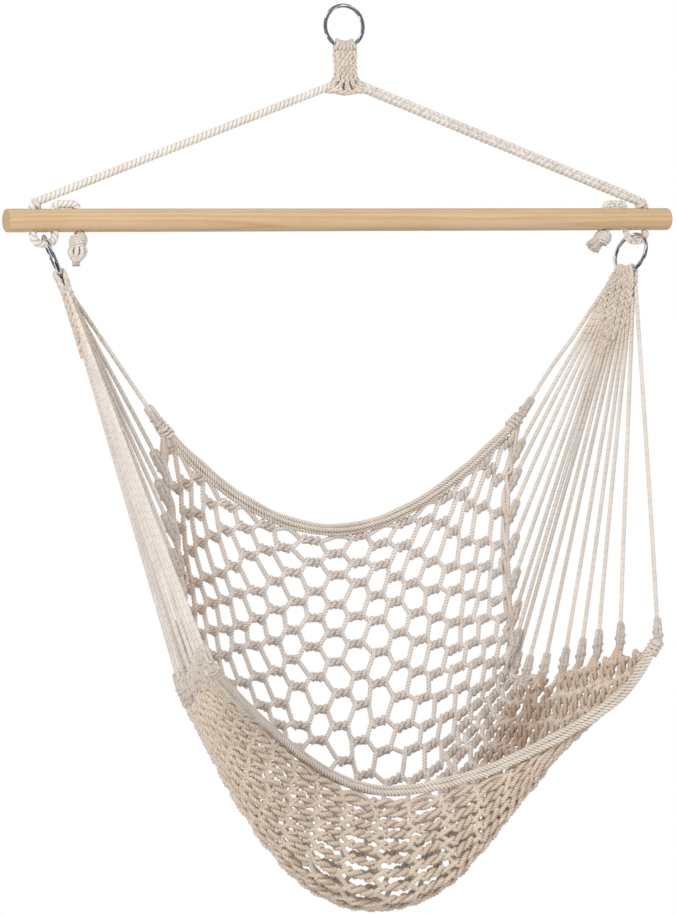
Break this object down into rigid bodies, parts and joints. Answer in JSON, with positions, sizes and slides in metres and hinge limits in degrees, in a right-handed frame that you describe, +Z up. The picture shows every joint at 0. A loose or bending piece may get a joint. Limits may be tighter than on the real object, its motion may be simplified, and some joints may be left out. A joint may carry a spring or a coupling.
{
  "type": "hammock chair",
  "caption": "Hanging net chair: a steel ring and ropes carry a wooden spreader bar, and cord fans from rings at its ends hold a knotted cotton net seat.",
  "frame": {"origin": "the point of the top ring's inside that bears on the hook", "axes": "+X along the bar, -Y towards the front of the seat, +Z up"},
  "size_m": [0.8, 0.2573, 0.9956],
  "materials": {
    "steel_ring": "polished",
    "bar_wood": "sanded, clear satin pine",
    "woven_cord": "woven cotton cord",
    "rope": "laid and plaited cotton rope",
    "plaited_rim": "plaited cotton cord",
    "net_cord": "twisted cotton cord"
  },
  "bodies": {
    "top_ring": {"hanging_ring": "steel_ring"},
    "hitch": {"ring_hitch": "woven_cord"},
    "hanger": {"neck_band": "woven_cord", "suspension_rope_left": "rope", "suspension_rope_right": "rope", "stopper_knot_left": "rope", "stopper_knot_right": "rope", "spreader_bar": "bar_wood"},
    "sling": {"back_rim": "plaited_rim", "front_rim": "plaited_rim", "clew_weave_left": "woven_cord", "clew_cord_left_01": "net_cord", "clew_cord_left_02": "net_cord", "clew_cord_left_03": "net_cord", "clew_cord_left_04": "net_cord", "clew_cord_left_05": "net_cord", "clew_cord_left_06": "net_cord", "clew_cord_left_07": "net_cord", "clew_cord_left_08": "net_cord", "clew_cord_left_09": "net_cord", "clew_cord_left_10": "net_cord", "clew_cord_left_11": "net_cord", "clew_cord_left_12": "net_cord", "clew_cord_left_13": "net_cord", "clew_cord_left_14": "net_cord", "clew_cord_left_15": "net_cord", "clew_cord_left_16": "net_cord", "clew_weave_right": "woven_cord", "clew_cord_right_01": "net_cord", "clew_cord_right_02": "net_cord", "clew_cord_right_03": "net_cord", "clew_cord_right_04": "net_cord", "clew_cord_right_05": "net_cord", "clew_cord_right_06": "net_cord", "clew_cord_right_07": "net_cord", "clew_cord_right_08": "net_cord", "clew_cord_right_09": "net_cord", "clew_cord_right_10": "net_cord", "clew_cord_right_11": "net_cord", "clew_cord_right_12": "net_cord", "clew_cord_right_13": "net_cord", "clew_cord_right_14": "net_cord", "clew_cord_right_15": "net_cord", "clew_cord_right_16": "net_cord", "net_upper_back_left": "net_cord", "net_upper_back_middle": "net_cord", "net_upper_back_right": "net_cord", "net_lower_back_left": "net_cord", "net_lower_back_middle": "net_cord", "net_lower_back_right": "net_cord", "net_seat_left": "net_cord", "net_seat_middle": "net_cord", "net_seat_right": "net_cord", "net_front_left": "net_cord", "net_front_middle": "net_cord", "net_front_right": "net_cord"},
    "ring_left": {"sling_ring_left": "steel_ring"},
    "ring_right": {"sling_ring_right": "steel_ring"}
  },
  "joints": [
    {"name": "side_swing", "type": "hinge", "parent": "top_ring", "child": "hitch", "pos_m": [0, 0, -0.0205], "axis": [0, 1, 0], "range_deg": [-20, 20]},
    {"name": "front_swing", "type": "hinge", "parent": "hitch", "child": "hanger", "pos_m": [0, 0, -0.04325], "axis": [1, 0, 0], "range_deg": [-30, 30]},
    {"name": "seat_swing", "type": "hinge", "parent": "hanger", "child": "sling", "pos_m": [0, 0, -0.257], "axis": [1, 0, 0], "range_deg": [-25, 25]},
    {"name": "left_ring_turn", "type": "hinge", "parent": "sling", "child": "ring_left", "pos_m": [-0.3496, -0.00123, -0.27109], "axis": [0.885, -0.2876, 0.3662], "continuous": true},
    {"name": "right_ring_turn", "type": "hinge", "parent": "sling", "child": "ring_right", "pos_m": [0.3496, -0.00123, -0.27109], "axis": [0.885, 0.2876, -0.3662], "continuous": true}
  ]
}
